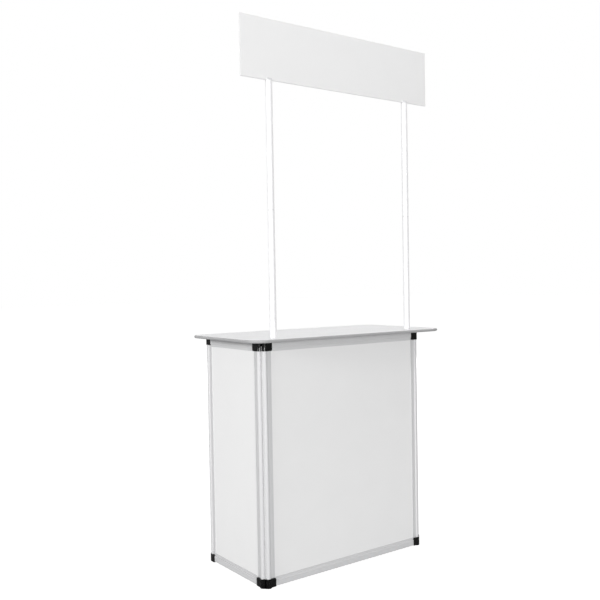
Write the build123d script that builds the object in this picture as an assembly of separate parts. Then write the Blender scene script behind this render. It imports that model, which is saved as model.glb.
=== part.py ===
from build123d import *
import math
import os

# Fold-flat promotional counter: a front frame and two hinged side frames of aluminium profile
# with white panels, a loose top, and a header board on two poles that plug into the front frame.
# Millimetres, +Z up, the front faces -Y, origin on the floor below the middle of the top.

# Body: the folding frame that stands on the floor
body_depth = 394.0
body_height = 901.5
fold_middle_gap = 4.0

# Top board and its edge band
top_t = 10.5
top_side_overhang = 68.0
top_front_overhang = 70.0
top_back_overhang = 15.0
top_corner_r = 60.0
edge_band_t = 6.0
edge_round_share = 0.43

# Stile profile: a round column with a lip that holds the panel in a slot
column_d = 19.0
column_bore_d = 12.0
lip_reach = 24.0
lip_recess = 4.0
inner_recess = 1.0
slot_cover = 2.0
slot_depth = 9.0
lip_line_w = 1.2
lip_line_depth = 0.8
lip_line_inset = 4.0

# Rails: a hollow box with a lip like the stile's
rail_end_gap = 4.0
rail_wall = 2.2
rail_box_h = 22.5
rail_lip_h = 10.0
rail_round = 2.0

# Panels
panel_t = 4.0
panel_play = 0.15
panel_end_play = 0.5

# Caps on the ends of the stiles
cap_wall = 2.5
cap_inner_wall = 1.0
cap_play = 0.2
cap_lid_t = 3.0
hinge_cap_skirt_h = 28.5
hinge_cap_arm = 25.5
hinge_cap_corner_r = 5.0
rear_cap_skirt_h = 24.0
rear_cap_arm = 21.0
rear_cap_corner_r = 3.0
cap_wrap = 0.5
cap_plug_l = 22.0
cap_plug_play = 0.1
rear_cap_edge_r = 2.0
cap_slot_w = 2.4
cap_slot_h = 14.0
cap_slot_angles = (200.0, 239.0)

# Hinge links and their pins, top and bottom of each front corner
column_gap = 1.5
link_t = 3.0
link_round_r = 2.0
link_edge = 0.6
foot_web_top = 33.0
head_web_top = 17.0
pin_d = 8.0
pin_play = 0.05
pin_seat_play = 0.02
pin_reach = 17.0

# Corner cleats inside the rails, and their countersunk screws
cleat_l = 45.0
cleat_play = 0.2
cleat_screw_inset = 8.0
screw_d = 3.2
screw_head_d = 6.0
screw_head_t = 1.4
screw_l = 9.0
screw_play = 0.05

# Small gap where a loose piece rests on another
rest_gap = 0.3

# Hook-and-loop pads that hold the top on the rails
pad_l = 60.0
pad_w = 12.0
hook_t = 1.8
front_pad_share = 0.25
side_pad_share = 0.30

# Poles
pole_d = 25.0
pole_wall = 1.2
pole_inset = 64.0
pole_top_z = 1839.0
foot_flange_t = 2.5
foot_plug_l = 30.0
spigot_d = 9.0
spigot_play = 0.1
bush_wall = 1.2
bush_flange_d = 22.0
bush_flange_t = 2.0
bush_play = 0.05
collar_wall = 1.6
collar_flange_w = 2.6
collar_flange_t = 1.2
collar_play = 0.4
coupler_l = 100.0
coupler_ring_t = 2.0
coupler_bore_d = 17.0
running_play = 0.05
plug_play = 0.05

# Header board, its clips and their thumb screws
header_w = 910.0
header_h = 219.0
header_t = 5.0
clip_plug_l = 25.0
clip_flange_t = 3.0
clip_jaw_t = 3.0
clip_jaw_h = 18.0
clip_lip_h = 8.0
clip_jaw_w = 22.0
clip_play = 0.15
thumb_screw_d = 4.0
thumb_head_d = 10.0
thumb_head_t = 5.0
thumb_stand_off = 1.0
thumb_play = 0.05

# One overrun for every cut that goes right through
overrun = 1.0

# Worked out from the sizes above
column_r = column_d / 2
cap_r = column_r + cap_wall
cap_inner_r = column_r + cap_inner_wall
body_width = 2 * (body_depth + cap_wall) + fold_middle_gap
pivot_spacing = column_d + column_gap
pivot_inset = column_r + pivot_spacing / math.sqrt(2)
top_width = body_width + 2 * top_side_overhang
top_depth = body_depth + top_front_overhang + top_back_overhang
front_y = top_front_overhang - top_depth / 2
back_y = front_y + body_depth
lip_out = lip_recess - column_r
lip_in = column_r - inner_recess
slot_out = lip_out + slot_cover
panel_out = slot_out + panel_play
panel_in = panel_out + panel_t
slot_in = panel_in + panel_play
rail_mid = (lip_in - column_r) / 2
link_stack = link_t + rest_gap + cap_lid_t
stile_z0 = link_stack
stile_z1 = body_height - rest_gap - link_stack
rail_z0 = rail_end_gap
rail_z1 = stile_z0 + stile_z1 - rail_end_gap
front_span = body_width - 2 * pivot_inset
side_span = body_depth - pivot_inset - column_r
pole_x = body_width / 2 - pole_inset
pole_y = front_y + column_r + rail_mid
pole_r = pole_d / 2
pole_bore_r = pole_r - pole_wall
top_z0 = body_height
top_z1 = body_height + top_t
top_gap = body_height - rail_z1
loop_t = top_gap - hook_t - rest_gap
pole_seat_z = rail_z1 + bush_flange_t + rest_gap
pole_tube_z0 = pole_seat_z + foot_flange_t
joint_z = (top_z1 + pole_top_z) / 2
header_z0 = pole_top_z + clip_flange_t + rest_gap


def block(x0, x1, y0, y1, z0, z1):
    """A box given by its low and high corners."""
    box = Box(x1 - x0, y1 - y0, z1 - z0)
    return Pos((x0 + x1) / 2, (y0 + y1) / 2, (z0 + z1) / 2) * box


def plate(x0, x1, y0, y1):
    """A flat rectangle in the XY plane given by its low and high corners."""
    return Pos((x0 + x1) / 2, (y0 + y1) / 2) * Rectangle(x1 - x0, y1 - y0)


def rod(radius, z0, z1):
    """An upright cylinder on the Z axis from z0 to z1."""
    return Pos(0, 0, (z0 + z1) / 2) * Cylinder(radius, z1 - z0)


def tube(outer_r, inner_r, z0, z1):
    """An upright tube on the Z axis from z0 to z1."""
    return rod(outer_r, z0, z1) - rod(inner_r, z0 - overrun, z1 + overrun)


def right_hand(shape, span):
    """Turns a piece of a frame's left end into the one of its right end."""
    return Pos(span, 0, 0) * mirror(shape, about=Plane.YZ)


def top_hand(shape):
    """Turns a piece of the lower end of a stile into the one of the upper end."""
    middle = (stile_z0 + stile_z1) / 2
    return Pos(0, 0, 2 * middle) * mirror(shape, about=Plane.XY)


def stile():
    """Left-hand stile: column at the origin, lip towards +X, outer face towards -Y."""
    outline = Circle(column_r) + plate(0, lip_reach, lip_out, lip_in)
    outline -= Circle(column_bore_d / 2)
    outline -= plate(lip_reach - slot_depth, lip_reach + overrun, slot_out, slot_in)
    line_x = lip_reach - lip_line_inset
    outline -= plate(line_x - lip_line_w, line_x, lip_out - overrun, lip_out + lip_line_depth)
    return Pos(0, 0, stile_z0) * extrude(outline, stile_z1 - stile_z0)


def rail(span):
    """Rail with its box edge at z = 0 and its lip up: between the stiles of a frame of that span."""
    x0 = lip_reach
    x1 = span - lip_reach
    body = block(x0, x1, -column_r, lip_in, 0, rail_box_h)
    outer_edges = body.edges().filter_by(Axis.X).group_by(Axis.Y)[0]
    body = fillet(outer_edges, rail_round)
    body += block(x0, x1, lip_out, lip_in, rail_box_h, rail_box_h + rail_lip_h)
    body -= block(x0 - overrun, x1 + overrun, rail_wall - column_r, lip_in - rail_wall,
                  rail_wall, rail_box_h - rail_wall)
    slot_z0 = rail_box_h + rail_lip_h - slot_depth
    body -= block(x0 - overrun, x1 + overrun, slot_out, slot_in, slot_z0, rail_box_h + rail_lip_h + overrun)
    return body


def cleat():
    """Left-hand cleat for a rail whose box edge is at z = 0: a block in the box, a tongue in the stile."""
    x0 = lip_reach + cleat_play
    z0 = rail_wall + cleat_play
    z1 = rail_box_h - rail_wall - cleat_play
    body = block(x0, lip_reach + cleat_l, rail_wall + cleat_play - column_r,
                 lip_in - rail_wall - cleat_play, z0, z1)
    low = stile_z0 - rail_z0 + cleat_play
    body += block(lip_reach - slot_depth + cleat_play, x0 + overrun, panel_out, panel_in, max(z0, low), z1)
    return body - screw_hole()


def screw_place():
    """Where a cleat's screw sits: its head flush with the rail's inner face, its axis along -Y."""
    return Pos(lip_reach + cleat_l - cleat_screw_inset, lip_in, rail_box_h / 2) * Rot(-90, 0, 0)


def screw():
    """Countersunk cross-head screw that holds the cleat in its rail."""
    head = Pos(0, 0, -screw_head_t / 2) * Cone(screw_d / 2, screw_head_d / 2, screw_head_t)
    shank = rod(screw_d / 2, -screw_l, -screw_head_t)
    slot = Pos(0, 0, -screw_head_t / 4) * Box(screw_head_d / 2, screw_d / 4, screw_head_t / 2)
    cross = slot + Rot(0, 0, 90) * slot
    return screw_place() * (head + shank - cross)


def screw_hole():
    """The hole and countersink that the screw sits in."""
    play = screw_play
    head = Pos(0, 0, -screw_head_t / 2) * Cone(screw_d / 2 + play, screw_head_d / 2 + play, screw_head_t)
    shank = rod(screw_d / 2 + play, -screw_l - play, 0)
    return screw_place() * (head + shank + rod(screw_head_d / 2 + play, 0, overrun))


def flip(shape):
    """Turns a piece made for a bottom rail, whose box edge is at z = 0, into the one of a top rail."""
    return Pos(0, 0, rail_z1) * mirror(shape, about=Plane.XY)


def panel(span):
    """Flat panel that stands in the slots of the four profiles around it."""
    reach = lip_reach - slot_depth + panel_end_play
    low = rail_z0 + rail_box_h + rail_lip_h - slot_depth + panel_end_play
    high = rail_z1 - rail_box_h - rail_lip_h + slot_depth - panel_end_play
    return block(reach, span - reach, panel_out, panel_in, low, high)


def cap(z_outer, hinge, slotted):
    """Lower left-hand cap: lid below the stile's end, skirt up its outside, plug in its bore.

    A hinge cap leaves its inner side free for the other stile, and its plug is a bush for the pin.
    A slotted cap has slots in its skirt, so that it springs over the stile.
    """
    skirt_top = stile_z0 + (hinge_cap_skirt_h if hinge else rear_cap_skirt_h)
    wrap = cap_wrap if hinge else cap_inner_r
    arm = hinge_cap_arm if hinge else rear_cap_arm
    corner = hinge_cap_corner_r if hinge else rear_cap_corner_r
    outline = Circle(cap_r) + plate(0, arm, -cap_r, cap_r)
    shell = Pos(0, 0, z_outer) * extrude(outline, skirt_top - z_outer)
    shell = fillet(shell.edges().filter_by(Axis.Y).group_by(Axis.Z)[-1], corner)
    shell = fillet(shell.edges().group_by(Axis.Z)[0], link_edge if hinge else rear_cap_edge_r)
    shell -= block(-cap_r - overrun, arm + overrun, wrap, cap_r + overrun,
                   z_outer - overrun, skirt_top + overrun)
    hollow = Circle(column_r + cap_play)
    hollow += plate(0, lip_reach + cap_play, lip_out - cap_play, lip_in + cap_play)
    shell -= Pos(0, 0, stile_z0) * extrude(hollow, skirt_top)
    if hinge:
        shell -= block(lip_reach - cap_play, arm + overrun, -column_r - cap_play, lip_in + cap_play,
                       rail_z0 - cap_play, skirt_top + overrun)
    lid = Circle(column_r) + plate(0, min(arm, lip_reach) - cap_play, lip_out, lip_in)
    shell += Pos(0, 0, z_outer) * extrude(lid, stile_z0 - z_outer)
    for angle in cap_slot_angles if slotted else ():
        slot = Box(2 * cap_wall, cap_slot_w, 2 * cap_slot_h)
        shell -= Rot(0, 0, angle) * Pos(cap_r, 0, skirt_top) * slot
    shell += rod(column_bore_d / 2 - cap_plug_play, stile_z0, stile_z0 + cap_plug_l)
    if hinge:
        shell -= rod(pin_d / 2 + pin_play, z_outer - overrun, stile_z0 + cap_plug_l + overrun)
    return shell


def flat_frame(span, hinge_left, hinge_right):
    """One frame in its own place: left column at the origin, right column at x = span, outer face -Y."""
    z_left = stile_z0 - cap_lid_t if hinge_left else 0
    z_right = stile_z0 - cap_lid_t if hinge_right else 0
    right_foot = cap(z_right, hinge_right, False)
    right_head = cap(z_right, hinge_right, hinge_right)
    left_stile = stile()
    low = Pos(0, 0, rail_z0)
    hole = screw_hole()
    whole_rail = rail(span) - hole - right_hand(hole, span)
    left_cleat = cleat()
    right_cleat = right_hand(left_cleat, span)
    left_screw = screw()
    right_screw = right_hand(left_screw, span)
    return {
        "left_stile": left_stile,
        "right_stile": right_hand(left_stile, span),
        "bottom_rail": low * whole_rail,
        "top_rail": flip(whole_rail),
        "panel": panel(span),
        "cleats": [low * left_cleat, low * right_cleat, flip(left_cleat), flip(right_cleat)],
        "screws": [low * left_screw, low * right_screw, flip(left_screw), flip(right_screw)],
        "left_bottom_cap": cap(z_left, hinge_left, False),
        "right_bottom_cap": right_hand(right_foot, span),
        "left_top_cap": top_hand(cap(z_left, hinge_left, hinge_left)),
        "right_top_cap": right_hand(top_hand(right_head), span),
    }


def pads(span, share, z0, z1):
    """Two pads on a frame's top rail, each in at that share of the span from its end."""
    pad = block(-pad_l / 2, pad_l / 2, rail_mid - pad_w / 2, rail_mid + pad_w / 2, z0, z1)
    return [Pos(x, 0, 0) * pad for x in (share * span, (1 - share) * span)]


def link_plate(web_top):
    """Link plate of the left-hand corner, on the floor: it joins the two columns' axes.

    A web stands on it in the V between the two columns, up to web_top, and closes the V.
    """
    outline = Rot(0, 0, 135) * SlotCenterToCenter(pivot_spacing, 2 * cap_r)
    plate_body = extrude(outline, link_t)
    plate_body = fillet(plate_body.edges().group_by(Axis.Z)[0], min(link_round_r, link_t - rest_gap))
    half = (pivot_inset - column_r) / 2
    web_edge = cap_wrap + rest_gap - half
    web = plate(web_edge, 0, web_edge, 0)
    for x, y in ((half, -half), (-half, half)):
        hole = rod(pin_d / 2 + pin_seat_play, -overrun, link_t + overrun)
        plate_body -= Pos(x, y, 0) * hole
        web -= Pos(x, y) * Circle(column_r + cap_play)
    return plate_body + Pos(0, 0, link_t / 2) * extrude(web, web_top - link_t / 2)


def link_pins():
    """The two pins of a lower left-hand link, placed about the middle of the link."""
    half = (pivot_inset - column_r) / 2
    pin = chamfer(rod(pin_d / 2, 0, stile_z0 + pin_reach).edges().group_by(Axis.Z)[-1], link_edge)
    return [Pos(half, -half, 0) * pin, Pos(-half, half, 0) * pin]


def board_outline():
    """Outline of the top board inside its edge band."""
    width = top_width - 2 * edge_band_t
    depth = top_depth - 2 * edge_band_t
    return RectangleRounded(width, depth, top_corner_r - edge_band_t)


def table_top():
    """The top board without its edge band, with a stepped hole for each pole's collar."""
    body = Pos(0, 0, top_z0) * extrude(board_outline(), top_t)
    hole = rod(collar_r() + plug_play, top_z0 - overrun, top_z1)
    hole += rod(collar_r() + collar_flange_w + plug_play, top_z1 - collar_flange_t, top_z1 + overrun)
    for x in (-pole_x, pole_x):
        body -= Pos(x, pole_y, 0) * hole
    return body


def edge_band():
    """The band round the top board's edge, with its outer rims rounded into a bull nose."""
    outer = extrude(RectangleRounded(top_width, top_depth, top_corner_r), top_t)
    rims = outer.edges().group_by(Axis.Z)
    outer = fillet(rims[0] + rims[-1], min(edge_round_share * top_t, edge_band_t - rest_gap))
    body = outer - Pos(0, 0, -overrun) * extrude(board_outline(), top_t + 2 * overrun)
    return Pos(0, 0, top_z0) * body


def collar_r():
    """Outer radius of the collar that lines a pole's hole in the top."""
    return pole_r + collar_play + collar_wall


def pole_collar():
    """Flanged collar that lines a pole's hole in the top, flush with its upper face."""
    body = tube(collar_r(), pole_r + collar_play, top_z0, top_z1)
    return body + tube(collar_r() + collar_flange_w, pole_r + collar_play, top_z1 - collar_flange_t, top_z1)


def socket_bush():
    """Flanged bush that takes a pole's spigot, through the top rail and its cleat."""
    low = rail_z1 - rail_box_h + rail_wall + cleat_play
    inner_r = spigot_d / 2 + spigot_play
    outer_r = inner_r + bush_wall
    body = tube(outer_r, inner_r, low, rail_z1)
    return body + tube(bush_flange_d / 2, inner_r, rail_z1, rail_z1 + bush_flange_t)


def socket_hole():
    """The hole for a socket bush in the top rail and its cleat."""
    radius = spigot_d / 2 + spigot_play + bush_wall + bush_play
    return rod(radius, rail_z1 - rail_box_h + rail_wall, rail_z1 + overrun)


def pole_foot():
    """Foot of a pole: plug in the tube, flange under it and spigot for the socket."""
    low = rail_z1 - rail_box_h + rail_wall + cleat_play + rest_gap
    spigot = chamfer(rod(spigot_d / 2, low, pole_seat_z).edges().group_by(Axis.Z)[0], link_edge)
    flange = rod(pole_r, pole_seat_z, pole_tube_z0)
    plug = rod(pole_bore_r - plug_play, pole_tube_z0, pole_tube_z0 + foot_plug_l)
    return spigot + flange + plug


def coupler():
    """Sleeve with a middle ring that joins a lower and an upper pole."""
    body = rod(pole_bore_r - running_play, joint_z - coupler_l / 2, joint_z + coupler_l / 2)
    rims = body.edges().group_by(Axis.Z)
    body = chamfer(rims[0] + rims[-1], link_edge)
    body += rod(pole_r, joint_z - coupler_ring_t / 2, joint_z + coupler_ring_t / 2)
    return body - rod(coupler_bore_d / 2, joint_z - coupler_l, joint_z + coupler_l)


def header_clip():
    """Clip on a pole's end: plug, flange and a fork, with the lower jaw in front, for the header."""
    plug = rod(pole_bore_r - plug_play, pole_top_z - clip_plug_l, pole_top_z)
    flange_top = pole_top_z + clip_flange_t
    flange = rod(pole_r, pole_top_z, flange_top)
    half_slot = header_t / 2 + clip_play
    half_jaws = half_slot + clip_jaw_t
    half_w = clip_jaw_w / 2
    rear_jaw = block(-half_w, half_w, half_slot, half_jaws, flange_top, flange_top + clip_jaw_h)
    rear_jaw = fillet(rear_jaw.edges().filter_by(Axis.Y).group_by(Axis.Z)[-1], clip_jaw_t)
    front_jaw = block(-half_w, half_w, -half_jaws, -half_slot, flange_top, flange_top + clip_lip_h)
    front_jaw = fillet(front_jaw.edges().filter_by(Axis.Y).group_by(Axis.Z)[-1], clip_jaw_t)
    hole = thumb_place() * rod(thumb_screw_d / 2 + thumb_play, -overrun, clip_jaw_t + overrun)
    return plug + flange + rear_jaw + front_jaw - hole


def thumb_place():
    """Start of a thumb screw on the inner face of a clip's rear jaw, its axis pointing back."""
    height = pole_top_z + clip_flange_t + clip_jaw_h / 2
    return Pos(0, header_t / 2 + clip_play, height) * Rot(-90, 0, 0)


def thumb_screw():
    """Thumb screw with a fluted head that presses on the header board."""
    head_z = clip_jaw_t + thumb_stand_off
    shank = rod(thumb_screw_d / 2, 0, head_z)
    outline = Circle(thumb_head_d / 2)
    for flute in PolarLocations(thumb_head_d / 2, 10):
        outline -= flute * Circle(thumb_screw_d / 4)
    head = Pos(0, 0, head_z) * extrude(outline, thumb_head_t)
    return thumb_place() * (shank + head)


def at_poles(shape):
    """A copy of a piece on each pole's axis, the left one first."""
    return [Pos(x, pole_y, 0) * shape for x in (-pole_x, pole_x)]


def save(name, solids):
    """Writes one node: a single solid, or a group of separate ones."""
    shape = Compound(solids) if isinstance(solids, list) else solids
    export_step(shape, "parts/" + name + ".step")


def save_frame(prefix, pieces, place, left_name, right_name):
    """Writes a frame's pieces, turned into place, with the names of its two ends."""
    for key, piece in pieces.items():
        name = key.replace("left", left_name).replace("right", right_name)
        if isinstance(piece, list):
            save(prefix + "_" + name, [place * solid for solid in piece])
        else:
            save(prefix + "_" + name, place * piece)


def build():
    """Builds every piece and writes it to its own file."""
    os.makedirs("parts", exist_ok=True)
    front_place = Pos(pivot_inset - body_width / 2, front_y + column_r, 0)
    left_place = Pos(column_r - body_width / 2, back_y - column_r, 0) * Rot(0, 0, -90)
    right_place = Pos(body_width / 2 - column_r, front_y + pivot_inset, 0) * Rot(0, 0, 90)

    front = flat_frame(front_span, True, True)
    socket_x = pole_inset - pivot_inset
    holes = Pos(socket_x, rail_mid, 0) * socket_hole()
    holes += Pos(front_span - socket_x, rail_mid, 0) * socket_hole()
    front["top_rail"] -= holes
    front["cleats"] = [solid - holes for solid in front["cleats"]]
    front["hook_pads"] = pads(front_span, front_pad_share, rail_z1, rail_z1 + hook_t)
    save_frame("front", front, front_place, "left", "right")

    left = flat_frame(side_span, False, True)
    left["hook_pads"] = pads(side_span, side_pad_share, rail_z1, rail_z1 + hook_t)
    save_frame("left_side", left, left_place, "rear", "hinge")

    right = flat_frame(side_span, True, False)
    right["hook_pads"] = pads(side_span, side_pad_share, rail_z1, rail_z1 + hook_t)
    save_frame("right_side", right, right_place, "hinge", "rear")

    middle = (pivot_inset + column_r) / 2
    corner = Pos(middle - body_width / 2, front_y + middle, 0)
    for side in ("left", "right"):
        foot_link = corner * link_plate(foot_web_top)
        head_link = top_hand(corner * link_plate(head_web_top))
        pins = [corner * pin for pin in link_pins()]
        if side == "right":
            foot_link = mirror(foot_link, about=Plane.YZ)
            head_link = mirror(head_link, about=Plane.YZ)
            pins = [mirror(pin, about=Plane.YZ) for pin in pins]
        save(side + "_bottom_link", foot_link)
        save(side + "_top_link", head_link)
        save(side + "_link_pins", pins + [top_hand(pin) for pin in pins])

    save("table_top", table_top())
    save("top_edge_band", edge_band())
    save("pole_collars", at_poles(pole_collar()))
    loop_z = top_z0 - loop_t
    loops = [front_place * pad for pad in pads(front_span, front_pad_share, loop_z, top_z0)]
    loops += [left_place * pad for pad in pads(side_span, side_pad_share, loop_z, top_z0)]
    loops += [right_place * pad for pad in pads(side_span, side_pad_share, loop_z, top_z0)]
    save("top_loop_pads", loops)

    lower_tube = tube(pole_r, pole_bore_r, pole_tube_z0, joint_z - coupler_ring_t / 2)
    upper_tube = tube(pole_r, pole_bore_r, joint_z + coupler_ring_t / 2 + rest_gap, pole_top_z)
    groups = {
        "socket_bush": socket_bush(),
        "lower_pole": lower_tube,
        "pole_foot": pole_foot(),
        "pole_coupler": coupler(),
        "upper_pole": upper_tube,
        "header_clip": header_clip(),
    }
    for name, shape in groups.items():
        left_one, right_one = at_poles(shape)
        save("left_" + name, left_one)
        save("right_" + name, right_one)
    save("clip_thumb_screws", at_poles(thumb_screw()))
    half_t = header_t / 2
    save("header_board", block(-header_w / 2, header_w / 2, pole_y - half_t, pole_y + half_t,
                               header_z0, header_z0 + header_h))


build()
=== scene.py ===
"""Finishes, grip tapes, studio and camera for a fold-flat counter with a header on two poles."""

import logging
import math
from dataclasses import dataclass
from enum import Enum

import bpy
import numpy as np
from mathutils import Matrix, Vector


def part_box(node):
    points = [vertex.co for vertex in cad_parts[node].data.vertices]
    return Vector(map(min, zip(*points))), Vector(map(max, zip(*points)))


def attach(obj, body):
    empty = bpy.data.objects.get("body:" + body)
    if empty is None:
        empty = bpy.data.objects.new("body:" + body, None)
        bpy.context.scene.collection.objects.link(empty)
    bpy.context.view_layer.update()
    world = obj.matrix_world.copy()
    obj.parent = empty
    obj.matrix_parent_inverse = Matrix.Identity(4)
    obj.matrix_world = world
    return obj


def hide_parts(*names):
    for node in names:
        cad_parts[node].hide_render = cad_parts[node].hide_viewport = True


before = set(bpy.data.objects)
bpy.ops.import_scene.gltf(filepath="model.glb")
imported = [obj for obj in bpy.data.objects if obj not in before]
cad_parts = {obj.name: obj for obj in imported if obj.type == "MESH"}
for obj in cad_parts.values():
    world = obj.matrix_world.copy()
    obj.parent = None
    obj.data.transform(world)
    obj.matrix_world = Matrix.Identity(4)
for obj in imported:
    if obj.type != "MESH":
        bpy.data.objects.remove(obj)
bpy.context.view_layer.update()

LOG = logging.getLogger("counter")
MM = 0.001
WHITE = "#FFFFFF"
NOISE = "ShaderNodeTexNoise"

# The sRGB curve is straight below its knee and a power above it
SRGB_KNEE = 0.04045
SRGB_SLOPE = 12.92
SRGB_OFFSET = 0.055
SRGB_POWER = 2.4

# Nearly all values of a noise texture lie between these two
NOISE_LOW = 0.3
NOISE_HIGH = 0.7

# Points along each rounded corner of a slab, and across each of its rounded edges
CORNER_POINTS = 5
EDGE_POINTS = 4


def linear(colour: str) -> tuple[float, float, float, float]:
    """Turns an sRGB hex colour into the linear colour that Blender's sockets take.

    Args:
        colour: Six hex digits after a hash sign.

    Returns:
        Linear red, green, blue and an alpha of one.
    """
    values = np.array([int(colour[i:i + 2], 16) for i in (1, 3, 5)]) / 255
    bright = ((values + SRGB_OFFSET) / (1 + SRGB_OFFSET)) ** SRGB_POWER
    return (*np.where(values <= SRGB_KNEE, values / SRGB_SLOPE, bright).tolist(), 1.0)


def cells(*sizes_mm: float) -> tuple[float, ...]:
    """Mapping scale at which a pattern's cell has this size, one for all axes or one for each."""
    return tuple(1 / (size * MM) for size in (sizes_mm * 3)[:3])


def over_noise(values: tuple[float, float]) -> dict[str, float]:
    """Map Range settings that spread two values over what a noise texture really reaches."""
    return {"From Min": NOISE_LOW, "From Max": NOISE_HIGH, "To Min": values[0],
            "To Max": values[1]}


def add_node(tree: bpy.types.NodeTree, name: str, kind: str, settings: dict | None = None,
             feeds: dict | None = None) -> bpy.types.Node:
    """Adds a node with its settings and links.

    Args:
        tree: Node tree that gets the node.
        name: Name by which later nodes call it.
        kind: Blender's type of the node.
        settings: Values by property name, or by input socket's name or number.
        feeds: Sources by input socket, each written as node name, dot, output socket.

    Returns:
        The new node.
    """
    node = tree.nodes.new(kind)
    node.name = name
    for key, value in (settings or {}).items():
        if isinstance(key, str) and hasattr(node, key):
            setattr(node, key, value)
        else:
            node.inputs[key].default_value = value
    for key, source in (feeds or {}).items():
        giver, _, socket = source.partition(".")
        outputs = tree.nodes[giver].outputs
        tree.links.new(outputs[int(socket) if socket.isdigit() else socket], node.inputs[key])
    return node


def add_pattern(tree: bpy.types.NodeTree, name: str, kind: str, scale: tuple[float, ...],
                settings: dict) -> None:
    """Adds a texture in Object coordinates, whose cells have a real size.

    Args:
        tree: Node tree that gets the texture.
        name: Name by which later nodes call the texture.
        kind: Blender's type of the texture node.
        scale: Scale from the object's metres to the pattern's cells, as cells() gives it.
        settings: The texture's other values.
    """
    if "where" not in tree.nodes:
        add_node(tree, "where", "ShaderNodeTexCoord")
    add_node(tree, f"{name}_cells", "ShaderNodeMapping", {"Scale": scale},
             {"Vector": "where.Object"})
    add_node(tree, name, kind, {"Scale": 1.0, **settings}, {"Vector": f"{name}_cells.Vector"})


def new_tree(name: str) -> bpy.types.NodeTree:
    """Makes a material that uses nodes.

    Args:
        name: Name of the material.

    Returns:
        Its node tree, emptied.
    """
    material = bpy.data.materials.new(name)
    material.use_nodes = True
    material.node_tree.nodes.clear()
    return material.node_tree


def close_tree(tree: bpy.types.NodeTree, shader: str) -> bpy.types.Material:
    """Links the named shader to the material's output.

    Args:
        tree: Node tree that holds the shader.
        shader: Name and output socket of the shader, as a feed is written.

    Returns:
        The material that the tree belongs to.
    """
    add_node(tree, "out", "ShaderNodeOutputMaterial", feeds={"Surface": shader})
    return next(m for m in bpy.data.materials if m.node_tree == tree)


class Along(Enum):
    """The axis that a profile was extruded along, which its die lines follow."""

    X = 0
    Y = 1
    Z = 2

    def stretched(self, across_mm: float, run_mm: float) -> tuple[float, ...]:
        """Mapping scale of a pattern drawn out along this axis.

        Args:
            across_mm: Size of a cell across the axis.
            run_mm: Size of a cell along the axis.

        Returns:
            The three scales.
        """
        sizes = [across_mm] * 3
        sizes[self.value] = run_mm
        return cells(*sizes)


@dataclass(frozen=True)
class AnodisedAluminium:
    """Extruded aluminium, etched and clear anodised.

    It gives the eye a satin grey metal with faint die lines along the profile. Real die lines are
    about 0.2 mm apart, and they are drawn 1.4 mm apart so that they show. The etched and anodised
    skin scatters most of the light and mirrors little, so it is only partly metallic here.
    """

    along: Along
    colour: str = "#D7D7D8"
    line_colour: str = "#C9C9CA"
    die_line_mm: float = 1.4
    die_run_mm: float = 500.0
    etch_mm: float = 0.6
    etch_share: float = 0.3
    roughness: tuple[float, float] = (0.60, 0.70)
    relief_mm: float = 0.02
    metallic: float = 0.3

    def material(self, name: str) -> bpy.types.Material:
        """Builds the finish's material.

        Args:
            name: Name of the material.

        Returns:
            The material.
        """
        tree = new_tree(name)
        add_pattern(tree, "lines", NOISE, self.along.stretched(self.die_line_mm, self.die_run_mm),
                    {"Detail": 3.0})
        add_pattern(tree, "etch", NOISE, cells(self.etch_mm), {"Detail": 1.0})
        add_node(tree, "tint", "ShaderNodeMix",
                 {"data_type": "RGBA", 6: linear(self.colour), 7: linear(self.line_colour)},
                 {0: "lines.Fac"})
        add_node(tree, "gloss", "ShaderNodeMapRange", over_noise(self.roughness),
                 {"Value": "lines.Fac"})
        add_node(tree, "relief", "ShaderNodeMath",
                 {"operation": "MULTIPLY_ADD", 1: self.etch_share},
                 {0: "etch.Fac", 2: "lines.Fac"})
        add_node(tree, "bump", "ShaderNodeBump",
                 {"Strength": 0.5, "Distance": self.relief_mm * MM}, {"Height": "relief.Value"})
        add_node(tree, "metal", "ShaderNodeBsdfPrincipled", {"Metallic": self.metallic},
                 {"Base Color": "tint.2", "Roughness": "gloss.Result", "Normal": "bump.Normal"})
        return close_tree(tree, "metal.BSDF")


@dataclass(frozen=True)
class SheetPlastic:
    """Rigid extruded plastic sheet, calendered smooth.

    It gives the eye an even white face with a faint orange peel and a slow unevenness of gloss.
    The peel of the real sheet is about 0.8 mm wide, and it is drawn 2.5 mm wide so that it shows.
    """

    colour: str
    cloud_colour: str
    peel_mm: float = 2.5
    cloud_mm: float = 140.0
    roughness: tuple[float, float] = (0.38, 0.48)
    relief_mm: float = 0.03

    def material(self, name: str) -> bpy.types.Material:
        """Builds the finish's material.

        Args:
            name: Name of the material.

        Returns:
            The material.
        """
        tree = new_tree(name)
        add_pattern(tree, "clouds", NOISE, cells(self.cloud_mm), {"Detail": 2.0})
        add_pattern(tree, "peel", NOISE, cells(self.peel_mm), {"Detail": 2.0})
        add_node(tree, "tint", "ShaderNodeMix",
                 {"data_type": "RGBA", 6: linear(self.colour), 7: linear(self.cloud_colour)},
                 {0: "clouds.Fac"})
        add_node(tree, "gloss", "ShaderNodeMapRange", over_noise(self.roughness),
                 {"Value": "clouds.Fac"})
        add_node(tree, "bump", "ShaderNodeBump",
                 {"Strength": 0.4, "Distance": self.relief_mm * MM}, {"Height": "peel.Fac"})
        add_node(tree, "sheet", "ShaderNodeBsdfPrincipled", {"IOR": 1.53},
                 {"Base Color": "tint.2", "Roughness": "gloss.Result", "Normal": "bump.Normal"})
        return close_tree(tree, "sheet.BSDF")


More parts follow.
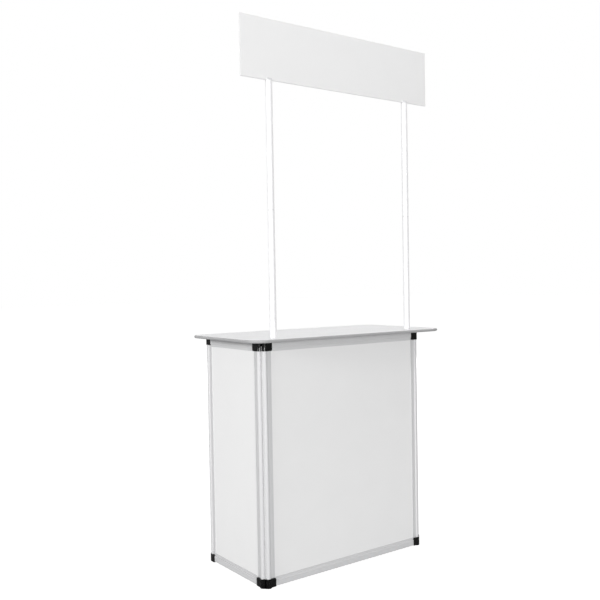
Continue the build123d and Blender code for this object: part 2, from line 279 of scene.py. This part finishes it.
@dataclass(frozen=True)
class MouldedPlastic:
    """Injection-moulded plastic from a spark-eroded or polished mould, scuffed along its edges.

    It gives the eye a tight skin with a fine grain, glossier in patches, and paler edges where the
    piece has been knocked. The grain of the real mould is about 0.15 mm and is drawn at 0.8 mm.
    """

    colour: str
    worn_colour: str
    grain_mm: float = 0.8
    patch_mm: float = 18.0
    edge_mm: float = 0.6
    roughness: tuple[float, float] = (0.20, 0.34)
    specular: float = 0.5
    relief_mm: float = 0.02
    wear: float = 0.5

    def material(self, name: str) -> bpy.types.Material:
        """Builds the finish's material.

        Args:
            name: Name of the material.

        Returns:
            The material.
        """
        tree = new_tree(name)
        add_pattern(tree, "grain", NOISE, cells(self.grain_mm), {"Detail": 2.0})
        add_pattern(tree, "patches", NOISE, cells(self.patch_mm), {"Detail": 3.0})
        # The rounded normal agrees with the true one on a flat face and turns away at an edge
        add_node(tree, "rounded", "ShaderNodeBevel", {"samples": 4, "Radius": self.edge_mm * MM})
        add_node(tree, "true", "ShaderNodeNewGeometry")
        add_node(tree, "turn", "ShaderNodeVectorMath", {"operation": "DOT_PRODUCT"},
                 {0: "rounded.Normal", 1: "true.Normal"})
        add_node(tree, "edges", "ShaderNodeMapRange",
                 {"From Min": 0.995, "From Max": 0.8, "To Min": 0.0, "To Max": self.wear},
                 {"Value": "turn.Value"})
        add_node(tree, "rubbed", "ShaderNodeMath", {"operation": "MULTIPLY"},
                 {0: "edges.Result", 1: "patches.Fac"})
        add_node(tree, "tint", "ShaderNodeMix",
                 {"data_type": "RGBA", 6: linear(self.colour), 7: linear(self.worn_colour)},
                 {0: "rubbed.Value"})
        add_node(tree, "gloss", "ShaderNodeMapRange", over_noise(self.roughness),
                 {"Value": "patches.Fac"})
        add_node(tree, "bump", "ShaderNodeBump",
                 {"Strength": 0.5, "Distance": self.relief_mm * MM}, {"Height": "grain.Fac"})
        add_node(tree, "plastic", "ShaderNodeBsdfPrincipled",
                 {"IOR": 1.53, "Specular IOR Level": self.specular},
                 {"Base Color": "tint.2", "Roughness": "gloss.Result", "Normal": "bump.Normal"})
        return close_tree(tree, "plastic.BSDF")


@dataclass(frozen=True)
class Laminate:
    """High-pressure laminate pressed on fibreboard, light grey with a fine fleck.

    It gives the eye a hard, even, slightly glossy face with specks a shade darker. The flecks are
    about 0.5 mm wide on a real sheet and are drawn 1.6 mm wide. The face that looks down is painted
    a plain dark grey, painted shade that darkens the gap under the top and the rails beneath it.
    """

    colour: str = "#E5E5E6"
    fleck_colour: str = "#D9D9DB"
    underside_shade_colour: str = "#5A5A5D"
    fleck_mm: float = 1.6
    smudge_mm: float = 90.0
    looks_down: float = -0.5
    roughness: tuple[float, float] = (0.30, 0.42)
    relief_mm: float = 0.02

    def material(self, name: str) -> bpy.types.Material:
        """Builds the finish's material.

        Args:
            name: Name of the material.

        Returns:
            The material.
        """
        tree = new_tree(name)
        add_pattern(tree, "flecks", "ShaderNodeTexVoronoi", cells(self.fleck_mm),
                    {"Randomness": 1.0})
        add_node(tree, "picked", "ShaderNodeMapRange",
                 {"From Min": 0.15, "From Max": 0.45, "To Min": 1.0, "To Max": 0.0},
                 {"Value": "flecks.Distance"})
        add_pattern(tree, "smudges", NOISE, cells(self.smudge_mm), {"Detail": 4.0})
        add_node(tree, "tint", "ShaderNodeMix",
                 {"data_type": "RGBA", 6: linear(self.colour), 7: linear(self.fleck_colour)},
                 {0: "picked.Result"})
        # Faces that look down are painted dark grey: painted shade under the top
        add_node(tree, "true", "ShaderNodeNewGeometry")
        add_node(tree, "facing", "ShaderNodeSeparateXYZ", feeds={0: "true.True Normal"})
        add_node(tree, "under", "ShaderNodeMath", {"operation": "LESS_THAN", 1: self.looks_down},
                 {0: "facing.Z"})
        add_node(tree, "both", "ShaderNodeMix",
                 {"data_type": "RGBA", 7: linear(self.underside_shade_colour)},
                 {0: "under.Value", 6: "tint.2"})
        add_node(tree, "gloss", "ShaderNodeMapRange", over_noise(self.roughness),
                 {"Value": "smudges.Fac"})
        add_node(tree, "bump", "ShaderNodeBump",
                 {"Strength": 0.4, "Distance": self.relief_mm * MM},
                 {"Height": "flecks.Distance"})
        add_node(tree, "laminate", "ShaderNodeBsdfPrincipled", {"IOR": 1.5},
                 {"Base Color": "both.2", "Roughness": "gloss.Result", "Normal": "bump.Normal"})
        return close_tree(tree, "laminate.BSDF")


@dataclass(frozen=True)
class PowderCoat:
    """Polyester powder baked on drawn aluminium tube.

    It gives the eye a full white with a soft orange peel about 1.5 mm wide.
    """

    colour: str = "#EFEFF0"
    shade_colour: str = "#EAEAEB"
    peel_mm: float = 1.5
    drift_mm: float = 60.0
    roughness: tuple[float, float] = (0.30, 0.40)
    relief_mm: float = 0.04

    def material(self, name: str) -> bpy.types.Material:
        """Builds the finish's material.

        Args:
            name: Name of the material.

        Returns:
            The material.
        """
        tree = new_tree(name)
        add_pattern(tree, "peel", NOISE, cells(self.peel_mm), {"Detail": 1.0})
        add_pattern(tree, "drift", NOISE, cells(self.drift_mm), {"Detail": 3.0})
        add_node(tree, "tint", "ShaderNodeMix",
                 {"data_type": "RGBA", 6: linear(self.colour), 7: linear(self.shade_colour)},
                 {0: "drift.Fac"})
        add_node(tree, "gloss", "ShaderNodeMapRange", over_noise(self.roughness),
                 {"Value": "drift.Fac"})
        add_node(tree, "bump", "ShaderNodeBump",
                 {"Strength": 0.5, "Distance": self.relief_mm * MM}, {"Height": "peel.Fac"})
        add_node(tree, "coat", "ShaderNodeBsdfPrincipled", {"IOR": 1.5},
                 {"Base Color": "tint.2", "Roughness": "gloss.Result", "Normal": "bump.Normal"})
        return close_tree(tree, "coat.BSDF")


@dataclass(frozen=True)
class PlatedMetal:
    """Zinc-plated steel, or zinc as it comes from the casting die.

    It gives the eye a cool grey metal with a mottled, slightly crystalline skin.
    """

    colour: str
    spot_colour: str
    mottle_mm: float
    roughness: tuple[float, float]
    relief_mm: float

    def material(self, name: str) -> bpy.types.Material:
        """Builds the finish's material.

        Args:
            name: Name of the material.

        Returns:
            The material.
        """
        tree = new_tree(name)
        add_pattern(tree, "mottle", NOISE, cells(self.mottle_mm), {"Detail": 4.0})
        add_node(tree, "tint", "ShaderNodeMix",
                 {"data_type": "RGBA", 6: linear(self.colour), 7: linear(self.spot_colour)},
                 {0: "mottle.Fac"})
        add_node(tree, "gloss", "ShaderNodeMapRange", over_noise(self.roughness),
                 {"Value": "mottle.Fac"})
        add_node(tree, "bump", "ShaderNodeBump",
                 {"Strength": 0.5, "Distance": self.relief_mm * MM}, {"Height": "mottle.Fac"})
        add_node(tree, "metal", "ShaderNodeBsdfPrincipled", {"Metallic": 1.0},
                 {"Base Color": "tint.2", "Roughness": "gloss.Result", "Normal": "bump.Normal"})
        return close_tree(tree, "metal.BSDF")


@dataclass(frozen=True)
class TapeNylon:
    """Nylon of the hook-and-loop tape: woven ground with a sheen.

    It gives the eye a pale grey textile with crossing threads 0.9 mm apart, with painted shade
    in the gaps between the threads. A wave texture of band_scale has about one thread to a cell.
    """

    colour: str = "#D8D8D8"
    gap_shade_colour: str = "#A8A8AA"
    thread_mm: float = 0.9
    band_scale: float = 2 / math.tau
    relief_mm: float = 0.1

    def material(self, name: str) -> bpy.types.Material:
        """Builds the finish's material.

        Args:
            name: Name of the material.

        Returns:
            The material.
        """
        tree = new_tree(name)
        for threads, axis in (("warp", "X"), ("weft", "Y")):
            add_pattern(tree, threads, "ShaderNodeTexWave", cells(self.thread_mm),
                        {"bands_direction": axis, "Scale": self.band_scale, "Distortion": 0.6})
        add_node(tree, "weave", "ShaderNodeMath", {"operation": "MULTIPLY"},
                 {0: "warp.Fac", 1: "weft.Fac"})
        # The gaps between threads get the darker colour: painted shade in the weave
        add_node(tree, "tint", "ShaderNodeMix",
                 {"data_type": "RGBA", 6: linear(self.gap_shade_colour), 7: linear(self.colour)},
                 {0: "weave.Value"})
        add_node(tree, "bump", "ShaderNodeBump",
                 {"Strength": 0.6, "Distance": self.relief_mm * MM}, {"Height": "weave.Value"})
        add_node(tree, "nylon", "ShaderNodeBsdfPrincipled",
                 {"IOR": 1.53, "Roughness": 0.6, "Sheen Weight": 0.3, "Sheen Roughness": 0.5},
                 {"Base Color": "tint.2", "Normal": "bump.Normal"})
        return close_tree(tree, "nylon.BSDF")


class Stock(Enum):
    """Every finish on the counter. The member's name in small letters is the material's name."""

    # Clear anodised aluminium profile, satin, with die lines along its length
    ALUMINIUM_PROFILE_ALONG_X = AnodisedAluminium(Along.X)
    ALUMINIUM_PROFILE_ALONG_Y = AnodisedAluminium(Along.Y)
    ALUMINIUM_PROFILE_ALONG_Z = AnodisedAluminium(Along.Z)
    # White rigid PVC sheet, which reads as a plain white with a faint gloss
    RIGID_PVC_SHEET = SheetPlastic("#ECECEC", "#E8E8E8")
    # White foamed PVC sheet, flatter than the panels
    FOAMED_PVC_SHEET = SheetPlastic("#EEEEEE", "#EBEBEB", roughness=(0.5, 0.6))
    # Black nylon 6, moulded, with scuffed edges
    BLACK_NYLON = MouldedPlastic("#040404", "#262627", specular=0.18)
    # Off-white ABS, moulded
    WHITE_ABS = MouldedPlastic("#DCDCDD", "#CFCFD0", roughness=(0.25, 0.38))
    # Grey PVC edge band, which frames the top with a darker line
    EDGE_BAND_PVC = MouldedPlastic("#A2A2A3", "#B4B4B5", roughness=(0.35, 0.5))
    # High-pressure laminate, light grey, hard and slightly glossy, with painted shade underneath
    LIGHT_GREY_LAMINATE = Laminate()
    # Powder-coated tube, a full white with a soft orange peel
    WHITE_POWDER_COAT = PowderCoat()
    # Bright zinc plating on steel, a cool grey with fine mottling
    ZINC_PLATED_STEEL = PlatedMetal("#C4C6CA", "#A9ACB2", 1.5, (0.28, 0.42), 0.02)
    # Zinc alloy as it comes from the die, a duller and rougher grey
    DIE_CAST_ZINC = PlatedMetal("#9C9DA0", "#7E7F83", 3.0, (0.45, 0.62), 0.08)
    # Woven nylon tape, a pale grey textile
    GRIP_TAPE_NYLON = TapeNylon()

    def material(self) -> bpy.types.Material:
        """The one material of this finish, built at its first use."""
        name = self.name.lower()
        return bpy.data.materials.get(name) or self.value.material(name)

    def paint(self, *nodes: str) -> None:
        """Gives CAD nodes this finish.

        Args:
            nodes: Names of the nodes.
        """
        for node in nodes:
            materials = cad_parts[node].data.materials
            materials.clear()
            materials.append(self.material())
            LOG.info("%s is %s", node, self.name.lower())


def closed_skin(rings: np.ndarray, low: np.ndarray, high: np.ndarray) -> tuple[np.ndarray, list]:
    """A closed surface from rings of points, with a pole at each end.

    Row i of the grid is ring i, and column j is the same place on every ring. Each cell between
    two rings is a face, and each end is a fan from its pole to the ring beside it.

    Args:
        rings: Points as rings x around x 3, counter-clockwise seen from the high end.
        low: Pole before the first ring.
        high: Pole after the last ring.

    Returns:
        The points and the faces as lists of point numbers.
    """
    count, around = rings.shape[:2]
    points = np.concatenate([rings.reshape(-1, 3), low[None], high[None]])
    here = np.arange(around)
    beside = (here + 1) % around
    row = (np.arange(count - 1) * around)[:, None]
    quads = np.stack([row + here, row + beside, row + around + beside, row + around + here], -1)
    last = (count - 1) * around
    bottom = np.stack([beside, here, np.full(around, len(points) - 2)], -1)
    top = np.stack([last + here, last + beside, np.full(around, len(points) - 1)], -1)
    return points, [*quads.reshape(-1, 4).tolist(), *bottom.tolist(), *top.tolist()]


def copies(points: np.ndarray, faces: list, moves: np.ndarray) -> tuple[np.ndarray, list]:
    """The same surface at many places.

    Args:
        points: Points of one surface.
        faces: Its faces.
        moves: One move for each copy.

    Returns:
        Points and faces of all the copies together.
    """
    every = (points[None] + moves[:, None]).reshape(-1, 3)
    starts = (np.arange(len(moves)) * len(points)).tolist()
    return every, [[start + i for i in face] for start in starts for face in faces]


def make_piece(name: str, body: str, parts: list, finish: Stock) -> bpy.types.Object:
    """Puts surfaces into one smooth-shaded mesh that rides on a body.

    Args:
        name: Name of the piece.
        body: CAD body that carries it.
        parts: Points and faces of each surface, in metres.
        finish: Its finish.

    Returns:
        The new object.
    """
    points, faces, start = [], [], 0
    for some_points, some_faces in parts:
        points.append(some_points)
        faces += [[start + i for i in face] for face in some_faces]
        start += len(some_points)
    mesh = bpy.data.meshes.new(name)
    mesh.from_pydata(np.concatenate(points).tolist(), [], faces)
    mesh.polygons.foreach_set("use_smooth", np.full(len(faces), True))
    mesh.materials.append(finish.material())
    piece = bpy.data.objects.new(name, mesh)
    bpy.context.scene.collection.objects.link(piece)
    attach(piece, body)
    LOG.info("%s rides on %s, %d faces", name, body, len(faces))
    return piece


def rounded_slab(low: np.ndarray, high: np.ndarray, corner: float,
                 edge: float) -> tuple[np.ndarray, list]:
    """A flat slab with rounded corners and rounded edges.

    The surface is S(u, v) = c(u) + (r - d(v)) (cos u, sin u) at height z(v): u runs round the four
    corners, whose centres c(u) stay put, and v runs from the lower face over the edge to the upper
    face, with d(v) and z(v) a quarter circle at each edge.

    Args:
        low: Lowest corner.
        high: Highest corner.
        corner: Radius of the corners in plan.
        edge: Radius of the edges.

    Returns:
        Points and faces.
    """
    quarter = np.linspace(0, math.pi / 2, CORNER_POINTS)
    turn = np.concatenate([quarter + k * math.pi / 2 for k in range(4)])
    signs = np.repeat([[1, 1], [-1, 1], [-1, -1], [1, -1]], len(quarter), axis=0)
    middle, half = (low + high) / 2, (high - low) / 2
    centres = middle[:2] + signs * (half[:2] - corner)
    round_off = np.linspace(0, math.pi / 2, EDGE_POINTS)
    inset = np.concatenate([edge * (1 - np.sin(round_off)), edge * (1 - np.cos(round_off))])
    height = np.concatenate([low[2] + edge * (1 - np.cos(round_off)),
                             high[2] - edge * (1 - np.sin(round_off))])
    circle = np.stack([np.cos(turn), np.sin(turn)], -1)
    plan = centres[None] + (corner - inset)[:, None, None] * circle[None]
    rise = np.broadcast_to(height[:, None, None], (*plan.shape[:2], 1))
    rings = np.concatenate([plan, rise], -1)
    return closed_skin(rings, np.array([*middle[:2], low[2]]), np.array([*middle[:2], high[2]]))


@dataclass
class GripTape:
    """Patches of hook or loop tape on one body, which stand for their plain CAD pads.

    The patches lie where the CAD node's solids lie. A hook tape is covered with small mushroom
    heads and a loop tape with small arches of thread.
    """

    name: str
    node: str
    body: str
    patches: list[tuple[np.ndarray, np.ndarray]]
    ground_mm: float = 0.7
    corner_mm: float = 1.5
    edge_mm: float = 0.25
    pitch_mm: float = 1.6
    margin_mm: float = 1.2

    def places(self, low: np.ndarray, high: np.ndarray) -> np.ndarray:
        """Where the hooks or loops of one patch stand: a square grid of points inside its margin.

        Args:
            low: Lowest corner of the patch.
            high: Highest corner of the patch.

        Returns:
            The places as n x 2.
        """
        margin, pitch = self.margin_mm * MM, self.pitch_mm * MM
        lines = [np.linspace(low[i] + margin, high[i] - margin,
                             int((high[i] - low[i] - 2 * margin) / pitch) + 1) for i in (0, 1)]
        return np.stack(np.meshgrid(*lines, indexing="ij"), -1).reshape(-1, 2)

    def tuft(self, rise: float) -> tuple[np.ndarray, list]:
        """Points and faces of one hook or loop that rises from the ground by this much."""
        raise NotImplementedError

    def ground_box(self, low: np.ndarray, high: np.ndarray) -> tuple[np.ndarray, np.ndarray]:
        """The part of a patch's box that its woven ground takes."""
        raise NotImplementedError

    def build(self) -> None:
        """Makes the tape and hides the plain pads."""
        parts = []
        for low, high in self.patches:
            ground = self.ground_box(low, high)
            parts.append(rounded_slab(*ground, self.corner_mm * MM, self.edge_mm * MM))
            # Tufts rise where the ground lies at the bottom of the patch, and hang otherwise
            up = ground[0][2] <= low[2]
            start = ground[1][2] if up else ground[0][2]
            rise = (high[2] if up else low[2]) - start
            spots = self.places(low, high)
            moves = np.column_stack([spots, np.full(len(spots), start)])
            parts.append(copies(*self.tuft(rise), moves))
        piece = make_piece(self.name, self.body, parts, Stock.GRIP_TAPE_NYLON)
        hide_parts(self.node)


@dataclass
class HookTape(GripTape):
    """Tape stuck on a rail's upper face, with mushroom heads pointing up.

    The stage and root shares are heights as shares of a head's rise, and the crown share is the
    radius near the top as a share of the head's.
    """

    stem_mm: float = 0.2
    head_mm: float = 0.5
    sides: int = 6
    stage_shares: tuple[float, ...] = (-0.2, 0.55, 0.7, 0.94)
    root_share: float = -0.25
    crown_share: float = 0.7

    def ground_box(self, low: np.ndarray, high: np.ndarray) -> tuple[np.ndarray, np.ndarray]:
        """The lower layer of the patch."""
        return low, np.array([*high[:2], low[2] + self.ground_mm * MM])

    def tuft(self, rise: float) -> tuple[np.ndarray, list]:
        """One mushroom head.

        The surface is S(u, v) = (r(v) cos u, r(v) sin u, z(v)): r is the stem's radius up to the
        second stage, swells to the head's at the third and draws in again towards the top.

        Args:
            rise: Height of the head above the ground.

        Returns:
            Points and faces.
        """
        turn = np.arange(self.sides) * math.tau / self.sides
        radius = np.array([self.stem_mm, self.stem_mm, self.head_mm,
                           self.head_mm * self.crown_share]) * MM
        height = np.array(self.stage_shares) * rise
        rings = np.stack([radius[:, None] * np.cos(turn), radius[:, None] * np.sin(turn),
                          np.broadcast_to(height[:, None], (len(height), self.sides))], -1)
        root = np.array([0, 0, self.root_share * rise])
        return closed_skin(rings, root, np.array([0, 0, rise]))


@dataclass
class LoopTape(GripTape):
    """Tape stuck under the top, with arches of thread pointing down.

    Each arch runs on past its half turn by the tuck, so its ends are sunk in the ground.
    """

    thread_mm: float = 0.12
    half_span_mm: float = 0.6
    steps: int = 7
    sides: int = 5
    tuck_rad: float = 0.15

    def ground_box(self, low: np.ndarray, high: np.ndarray) -> tuple[np.ndarray, np.ndarray]:
        """The upper layer of the patch."""
        return np.array([*low[:2], high[2] - self.ground_mm * MM]), high

    def tuft(self, rise: float) -> tuple[np.ndarray, list]:
        """One arch of thread.

        Its centreline is half an ellipse, p(v) = (a cos v, 0, h sin v), and the surface adds the
        thread's circle across it: S(u, v) = p(v) + t (cos u n(v) + sin u b), with n the outward
        normal in the arch's plane and b the direction across it.

        Args:
            rise: Height of the arch from the ground, negative where it hangs.

        Returns:
            Points and faces.
        """
        along = np.linspace(-self.tuck_rad, math.pi + self.tuck_rad, self.steps)[::-1]
        turn = np.arange(self.sides) * math.tau / self.sides
        thread, span = self.thread_mm * MM, self.half_span_mm * MM
        reach = rise - math.copysign(thread, rise)
        line = np.stack([span * np.cos(along), 0 * along, reach * np.sin(along)], -1)
        normal = np.stack([np.cos(along) / span, 0 * along, np.sin(along) / reach], -1)
        normal /= np.linalg.norm(normal, axis=1)[:, None]
        across = np.array([0.0, math.copysign(1.0, rise), 0.0])
        rings = (line[:, None] + thread * (np.cos(turn)[None, :, None] * normal[:, None]
                                           + np.sin(turn)[None, :, None] * across))
        return closed_skin(rings, line[0], line[-1])


def corners(node: str) -> tuple[np.ndarray, np.ndarray]:
    """Lowest and highest corner of a CAD node as arrays."""
    low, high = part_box(node)
    return np.array(low), np.array(high)


@dataclass
class FoldingFrame:
    """One flat frame: four profiles round a panel, capped corners and hook tape on its top rail."""

    prefix: str
    body: str
    ends: tuple[str, str]
    along: Along
    pad_l_mm: float = 60.0

    def patches(self) -> list[tuple[np.ndarray, np.ndarray]]:
        """The boxes of the two pads on the top rail, one at each end of their node's box.

        Returns:
            Lowest and highest corner of each.
        """
        low, high = corners(f"{self.prefix}_hook_pads")
        axis = self.along.value
        first_high, second_low = high.copy(), low.copy()
        first_high[axis] = low[axis] + self.pad_l_mm * MM
        second_low[axis] = high[axis] - self.pad_l_mm * MM
        return [(low, first_high), (second_low, high)]

    def build(self) -> None:
        """Finishes the frame's nodes and lays its hook tape."""
        rails = {Along.X: Stock.ALUMINIUM_PROFILE_ALONG_X,
                 Along.Y: Stock.ALUMINIUM_PROFILE_ALONG_Y}[self.along]
        rails.paint(f"{self.prefix}_bottom_rail", f"{self.prefix}_top_rail")
        Stock.ALUMINIUM_PROFILE_ALONG_Z.paint(*(f"{self.prefix}_{end}_stile" for end in self.ends))
        Stock.RIGID_PVC_SHEET.paint(f"{self.prefix}_panel")
        Stock.BLACK_NYLON.paint(*(f"{self.prefix}_{end}_{level}_cap" for end in self.ends
                                  for level in ("bottom", "top")))
        Stock.DIE_CAST_ZINC.paint(f"{self.prefix}_cleats")
        Stock.ZINC_PLATED_STEEL.paint(f"{self.prefix}_screws")
        Stock.GRIP_TAPE_NYLON.paint(f"{self.prefix}_hook_pads")
        HookTape(f"{self.prefix}_hook_tape", f"{self.prefix}_hook_pads", self.body,
                 self.patches()).build()


@dataclass
class HingeLink:
    """The two link plates and four pins of one front corner."""

    side: str

    def build(self) -> None:
        """Finishes the link's nodes."""
        Stock.BLACK_NYLON.paint(f"{self.side}_bottom_link", f"{self.side}_top_link")
        Stock.ZINC_PLATED_STEEL.paint(f"{self.side}_link_pins")


@dataclass
class TopBoard:
    """The loose top: laminate board, edge band, pole collars and the loop tape under it."""

    frames: list[FoldingFrame]

    def build(self) -> None:
        """Finishes the top's nodes and lays the loop tape over each frame's hook tape."""
        Stock.LIGHT_GREY_LAMINATE.paint("table_top")
        Stock.EDGE_BAND_PVC.paint("top_edge_band")
        Stock.WHITE_ABS.paint("pole_collars")
        Stock.GRIP_TAPE_NYLON.paint("top_loop_pads")
        low, high = corners("top_loop_pads")
        patches = [(np.array([*first[:2], low[2]]), np.array([*last[:2], high[2]]))
                   for each in self.frames for first, last in each.patches()]
        LoopTape("top_loop_tape", "top_loop_pads", "top", patches).build()


@dataclass
class Mast:
    """One pole in two lengths, with its socket, foot, coupler and header clip."""

    side: str

    def build(self) -> None:
        """Finishes the pole's nodes."""
        Stock.BLACK_NYLON.paint(f"{self.side}_socket_bush")
        Stock.WHITE_POWDER_COAT.paint(f"{self.side}_lower_pole", f"{self.side}_upper_pole")
        Stock.WHITE_ABS.paint(f"{self.side}_pole_foot", f"{self.side}_pole_coupler",
                              f"{self.side}_header_clip")


@dataclass
class Header:
    """The header board and the thumb screws that hold it."""

    def build(self) -> None:
        """Finishes the header's nodes."""
        Stock.FOAMED_PVC_SHEET.paint("header_board")
        Stock.WHITE_ABS.paint("clip_thumb_screws")


@dataclass
class Lamp:
    """A square soft box, which shows in gloss unless it is told not to."""

    name: str
    place: tuple[float, float, float]
    aim: tuple[float, float, float]
    size: float
    watts: float
    in_gloss: bool = True

    def build(self) -> None:
        """Hangs the lamp, turned towards its aim and unseen by the camera."""
        light = bpy.data.lights.new(self.name, "AREA")
        light.size = self.size
        light.energy = self.watts
        lamp = bpy.data.objects.new(self.name, light)
        bpy.context.scene.collection.objects.link(lamp)
        lamp.location = self.place
        lamp.rotation_mode = "QUATERNION"
        lamp.rotation_quaternion = (Vector(self.aim) - Vector(self.place)).to_track_quat("-Z", "Y")
        lamp.visible_camera = False
        lamp.visible_glossy = self.in_gloss


@dataclass
class Studio:
    """White floor, white surround and soft boxes."""

    ambient: float = 0.29
    floor_half: float = 40.0
    floor_lines: int = 5
    floor_own_white: float = 0.94
    floor_colour: str = "#8A8A8A"
    bounce_colour: str = "#C8C8C8"
    lamps: tuple[Lamp, ...] = (
        Lamp("key_from_left", (-8.3, -1.0, 3.0), (0.0, 0.0, 0.9), 1.6, 372.0),
        Lamp("fill_from_front", (-2.6, -7.6, 1.5), (0.0, 0.0, 1.0), 1.8, 318.0),
        Lamp("fill_from_behind", (5.5, 6.0, 2.6), (0.0, 0.0, 1.0), 2.2, 320.0, False),
        Lamp("overhead", (0.0, -0.3, 4.6), (0.0, 0.0, 0.9), 1.6, 50.0),
    )

    def surround(self) -> None:
        """A world that is white to the camera and in gloss, and lights the rest more softly."""
        world = bpy.data.worlds.new("white_surround")
        world.use_nodes = True
        tree = world.node_tree
        tree.nodes.clear()
        add_node(tree, "path", "ShaderNodeLightPath")
        add_node(tree, "seen", "ShaderNodeMath", {"operation": "MAXIMUM"},
                 {0: "path.Is Camera Ray", 1: "path.Is Glossy Ray"})
        add_node(tree, "shown", "ShaderNodeMath", {"operation": "MAXIMUM"},
                 {0: "seen.Value", 1: "path.Is Transmission Ray"})
        for name, strength in (("soft", self.ambient), ("white", 1.0)):
            add_node(tree, name, "ShaderNodeBackground",
                     {"Color": linear(WHITE), "Strength": strength})
        add_node(tree, "mix", "ShaderNodeMixShader", feeds={0: "shown.Value", 1: "soft.Background",
                                                            2: "white.Background"})
        add_node(tree, "out", "ShaderNodeOutputWorld", feeds={"Surface": "mix.Shader"})
        bpy.context.scene.world = world

    def floor(self) -> None:
        """A wide level floor, S(u, v) = (u, v, 0), white to the camera with a soft shadow on it.

        To the camera it is partly its own white, which lights nothing, and the counter's shadow
        stays on the rest. To all other light it is plain pale grey paint.
        """
        line = np.linspace(-self.floor_half, self.floor_half, self.floor_lines)
        across, along = np.meshgrid(line, line, indexing="ij")
        points = np.stack([across, along, 0 * across], -1).reshape(-1, 3)
        cell = np.arange(self.floor_lines - 1)
        here = (cell[:, None] * self.floor_lines + cell).ravel()
        beyond = here + self.floor_lines
        faces = np.stack([here, beyond, beyond + 1, here + 1], -1)
        mesh = bpy.data.meshes.new("floor")
        mesh.from_pydata(points.tolist(), [], faces.tolist())
        tree = new_tree("studio_floor_paint")
        add_node(tree, "path", "ShaderNodeLightPath")
        add_node(tree, "shown", "ShaderNodeMath", {"operation": "MAXIMUM"},
                 {0: "path.Is Camera Ray", 1: "path.Is Transmission Ray"})
        add_node(tree, "own", "ShaderNodeEmission",
                 {"Color": linear(WHITE), "Strength": self.floor_own_white})
        add_node(tree, "paint", "ShaderNodeBsdfDiffuse", {"Color": linear(self.floor_colour)})
        add_node(tree, "seen_floor", "ShaderNodeAddShader",
                 feeds={0: "own.Emission", 1: "paint.BSDF"})
        add_node(tree, "bounce", "ShaderNodeBsdfDiffuse", {"Color": linear(self.bounce_colour)})
        add_node(tree, "mix", "ShaderNodeMixShader",
                 feeds={0: "shown.Value", 1: "bounce.BSDF", 2: "seen_floor.Shader"})
        mesh.materials.append(close_tree(tree, "mix.Shader"))
        floor = bpy.data.objects.new("floor", mesh)
        bpy.context.scene.collection.objects.link(floor)

    def build(self) -> None:
        """Sets up the surround, the floor and the lamps."""
        self.surround()
        self.floor()
        for lamp in self.lamps:
            lamp.build()
        bpy.context.scene.view_settings.view_transform = "Standard"
        LOG.info("studio with %d lamps", len(self.lamps))


@dataclass(frozen=True)
class Viewpoint:
    """The photograph's viewpoint, from a least-squares fit to the object's corners and edges."""

    eye: tuple[float, float, float] = (-1.9288, -2.5111, 1.1121)
    yaw_deg: float = 36.227
    pitch_deg: float = -1.854
    roll_deg: float = -0.986
    focal_px: float = 781.01
    centre_px: tuple[float, float] = (301.20, 307.76)
    image_px: float = 600.0
    sensor_mm: float = 36.0
    sight_limit: float = 200.0

    def build(self) -> None:
        """Places the camera: yaw turns it from +Y towards +X, pitch lifts it, roll tips it.

        The lens is shifted by the distance from the optical centre to the picture's middle.
        """
        yaw, pitch, roll = (math.radians(a) for a in (self.yaw_deg, self.pitch_deg, self.roll_deg))
        ahead = Vector((math.sin(yaw) * math.cos(pitch), math.cos(yaw) * math.cos(pitch),
                        math.sin(pitch)))
        level = Vector((math.cos(yaw), -math.sin(yaw), 0))
        up = level.cross(ahead)
        right = math.cos(roll) * level + math.sin(roll) * up
        over = math.cos(roll) * up - math.sin(roll) * level
        data = bpy.data.cameras.new("viewpoint")
        data.sensor_width = self.sensor_mm
        data.lens = self.focal_px / self.image_px * self.sensor_mm
        data.shift_x = 0.5 - self.centre_px[0] / self.image_px
        data.shift_y = self.centre_px[1] / self.image_px - 0.5
        data.clip_end = self.sight_limit
        camera = bpy.data.objects.new("viewpoint", data)
        bpy.context.scene.collection.objects.link(camera)
        turn = Matrix((right, over, -ahead)).transposed().to_4x4()
        camera.matrix_world = Matrix.Translation(self.eye) @ turn
        bpy.context.scene.camera = camera
        LOG.info("camera at %s", self.eye)


def main() -> None:
    """Builds the counter's sub-assemblies in order, then the studio and the camera."""
    logging.basicConfig(level=logging.INFO, format="%(name)s: %(message)s")
    frames = [
        FoldingFrame("front", "front_frame", ("left", "right"), Along.X),
        FoldingFrame("left_side", "left_side", ("rear", "hinge"), Along.Y),
        FoldingFrame("right_side", "right_side", ("rear", "hinge"), Along.Y),
    ]
    for each in frames:
        each.build()
    for side in ("left", "right"):
        HingeLink(side).build()
        Mast(side).build()
    TopBoard(frames).build()
    Header().build()
    Studio().build()
    Viewpoint().build()


if __name__ == "__main__":
    main()
